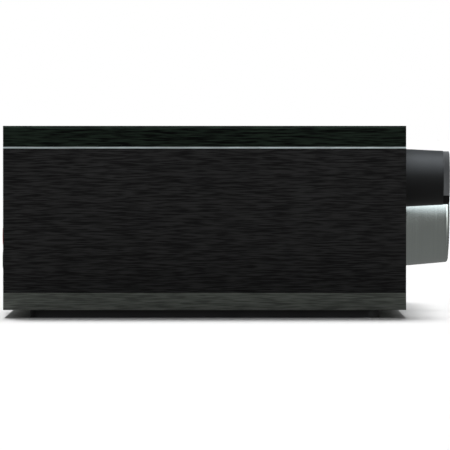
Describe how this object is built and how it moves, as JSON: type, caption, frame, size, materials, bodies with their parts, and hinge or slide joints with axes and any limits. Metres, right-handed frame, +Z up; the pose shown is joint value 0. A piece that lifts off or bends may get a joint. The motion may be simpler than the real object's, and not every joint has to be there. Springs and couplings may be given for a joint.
{
  "type": "stereo receiver",
  "caption": "Full-width stereo receiver: brushed black metal case with a bright line under its cover, black and silver turned knobs, recessed rear sockets.",
  "frame": {"origin": "on the resting plane, under the middle of the bounding box", "axes": "+Z up, +Y towards the rear sockets, +X to the right seen from the front"},
  "size_m": [0.435, 0.3612, 0.15],
  "materials": {
    "cover_black": "brushed black anodised, faint green cast",
    "panel_black": "brushed black anodised",
    "fascia_black": "brushed black anodised",
    "tray_graphite": "brushed graphite anodised",
    "trim_silver": "bright satin",
    "knob_black": "satin black, turned",
    "cap_grey": "satin grey with a gloss black segment",
    "knob_silver": "satin silver, turned",
    "disc_silver": "spun silver",
    "window_smoke": "smoked clear, polished",
    "display_glass": "dark display glass",
    "key_black": "black, satin",
    "lamp_amber": "diffused amber",
    "jack_black": "black",
    "rail_black": "fine textured black",
    "sole_rubber": "matt black rubber",
    "screw_steel": "black zinc",
    "rear_black": "fine textured black paint",
    "plate_black": "black moulding",
    "post_red": "red moulding",
    "post_black": "black moulding",
    "contact_gold": "gold plated",
    "contact_nickel": "nickel plated",
    "shaft_steel": "ground",
    "board_green": "glass-epoxy laminate with solder mask",
    "component_black": "black moulding",
    "can_steel": "tinned",
    "sink_black": "black anodised extrusion",
    "winding_amber": "polyester tape over copper windings and a steel core",
    "sleeve_black": "heat-shrink sleeve"
  },
  "bodies": {
    "case": {"accent_frame": "trim_silver", "amplifier_board": "board_green", "antenna_socket": "contact_nickel", "base_tray": "tray_graphite", "board_standoffs": "contact_gold", "control_board": "board_green", "cover_screws": "screw_steel", "display_module": "display_glass", "display_window": "window_smoke", "filter_capacitors": "sleeve_black", "foot_rail_screws": "screw_steel", "front_fascia": "fascia_black", "headphone_jack": "jack_black", "heat_sink": "sink_black", "input_board": "board_green", "left_foot_rail": "rail_black", "left_rubber_sole": "sole_rubber", "left_side_panel": "panel_black", "mains_blades": "contact_nickel", "mains_inlet": "plate_black", "mains_switch": "plate_black", "output_transistors": "component_black", "phono_sleeves": "contact_nickel", "phono_strip": "plate_black", "rear_panel": "rear_black", "right_foot_rail": "rail_black", "right_rubber_sole": "sole_rubber", "right_side_panel": "panel_black", "selector_encoder": "can_steel", "speaker_plate": "plate_black", "speaker_studs": "contact_gold", "standby_lamp": "lamp_amber", "tact_switches": "component_black", "top_cover": "cover_black", "transformer": "winding_amber", "transformer_clamp": "can_steel", "tuner_module": "can_steel", "volume_control": "can_steel"},
    "selector": {"selector_knob": "knob_black", "selector_cap": "cap_grey", "selector_shaft": "shaft_steel"},
    "volume": {"volume_knob": "knob_silver", "volume_disc": "disc_silver", "volume_shaft": "shaft_steel"},
    "standby_button": {"standby_button": "key_black"},
    "mains_rocker": {"mains_rocker": "key_black"},
    "function_button_1": {"function_button_1": "key_black"},
    "function_button_2": {"function_button_2": "key_black"},
    "function_button_3": {"function_button_3": "key_black"},
    "function_button_4": {"function_button_4": "key_black"},
    "function_button_5": {"function_button_5": "key_black"},
    "function_button_6": {"function_button_6": "key_black"},
    "clamp_washer_1": {"clamp_washer_1": "contact_gold"},
    "speaker_cap_1": {"speaker_cap_1": "post_black"},
    "clamp_washer_2": {"clamp_washer_2": "contact_gold"},
    "speaker_cap_2": {"speaker_cap_2": "post_black"},
    "clamp_washer_3": {"clamp_washer_3": "contact_gold"},
    "speaker_cap_3": {"speaker_cap_3": "post_red"},
    "clamp_washer_4": {"clamp_washer_4": "contact_gold"},
    "speaker_cap_4": {"speaker_cap_4": "post_red"}
  },
  "joints": [
    {"name": "selector_turn", "type": "hinge", "parent": "case", "child": "selector", "pos_m": [-0.17, -0.13865, 0.109], "axis": [0, 1, 0], "continuous": true},
    {"name": "volume_turn", "type": "hinge", "parent": "case", "child": "volume", "pos_m": [0, -0.13865, 0.075], "axis": [0, 1, 0], "range_deg": [-150, 150]},
    {"name": "standby_press", "type": "slide", "parent": "case", "child": "standby_button", "axis": [0, 1, 0], "range_m": [0, 0.0008], "stiffness_N_per_m": 2000},
    {"name": "mains_rock", "type": "hinge", "parent": "case", "child": "mains_rocker", "pos_m": [-0.14, 0.15805, 0.046], "axis": [1, 0, 0], "range_deg": [0, 16]},
    {"name": "function_1_press", "type": "slide", "parent": "case", "child": "function_button_1", "axis": [0, 1, 0], "range_m": [0, 0.0008], "stiffness_N_per_m": 2000},
    {"name": "function_2_press", "type": "slide", "parent": "case", "child": "function_button_2", "axis": [0, 1, 0], "range_m": [0, 0.0008], "stiffness_N_per_m": 2000},
    {"name": "function_3_press", "type": "slide", "parent": "case", "child": "function_button_3", "axis": [0, 1, 0], "range_m": [0, 0.0008], "stiffness_N_per_m": 2000},
    {"name": "function_4_press", "type": "slide", "parent": "case", "child": "function_button_4", "axis": [0, 1, 0], "range_m": [0, 0.0008], "stiffness_N_per_m": 2000},
    {"name": "function_5_press", "type": "slide", "parent": "case", "child": "function_button_5", "axis": [0, 1, 0], "range_m": [0, 0.0008], "stiffness_N_per_m": 2000},
    {"name": "function_6_press", "type": "slide", "parent": "case", "child": "function_button_6", "axis": [0, 1, 0], "range_m": [0, 0.0008], "stiffness_N_per_m": 2000},
    {"name": "clamp_washer_1_slide", "type": "slide", "parent": "case", "child": "clamp_washer_1", "axis": [0, 1, 0], "range_m": [0, 0.003]},
    {"name": "speaker_cap_1_turn", "type": "hinge", "parent": "clamp_washer_1", "child": "speaker_cap_1", "pos_m": [-0.1, 0.17005, 0.0427], "axis": [0, 1, 0], "range_deg": [0, 1540]},
    {"name": "clamp_washer_2_slide", "type": "slide", "parent": "case", "child": "clamp_washer_2", "axis": [0, 1, 0], "range_m": [0, 0.003]},
    {"name": "speaker_cap_2_turn", "type": "hinge", "parent": "clamp_washer_2", "child": "speaker_cap_2", "pos_m": [-0.068, 0.17005, 0.0427], "axis": [0, 1, 0], "range_deg": [0, 1540]},
    {"name": "clamp_washer_3_slide", "type": "slide", "parent": "case", "child": "clamp_washer_3", "axis": [0, 1, 0], "range_m": [0, 0.003]},
    {"name": "speaker_cap_3_turn", "type": "hinge", "parent": "clamp_washer_3", "child": "speaker_cap_3", "pos_m": [-0.1, 0.17005, 0.0616], "axis": [0, 1, 0], "range_deg": [0, 1540]},
    {"name": "clamp_washer_4_slide", "type": "slide", "parent": "case", "child": "clamp_washer_4", "axis": [0, 1, 0], "range_m": [0, 0.003]},
    {"name": "speaker_cap_4_turn", "type": "hinge", "parent": "clamp_washer_4", "child": "speaker_cap_4", "pos_m": [-0.068, 0.17005, 0.0616], "axis": [0, 1, 0], "range_deg": [0, 1540]}
  ],
  "couplings": [
    {"joint": "clamp_washer_1_slide", "follows": "speaker_cap_1_turn", "m_per_rad": 0.00011141},
    {"joint": "clamp_washer_2_slide", "follows": "speaker_cap_2_turn", "m_per_rad": 0.00011141},
    {"joint": "clamp_washer_3_slide", "follows": "speaker_cap_3_turn", "m_per_rad": 0.00011141},
    {"joint": "clamp_washer_4_slide", "follows": "speaker_cap_4_turn", "m_per_rad": 0.00011141}
  ]
}
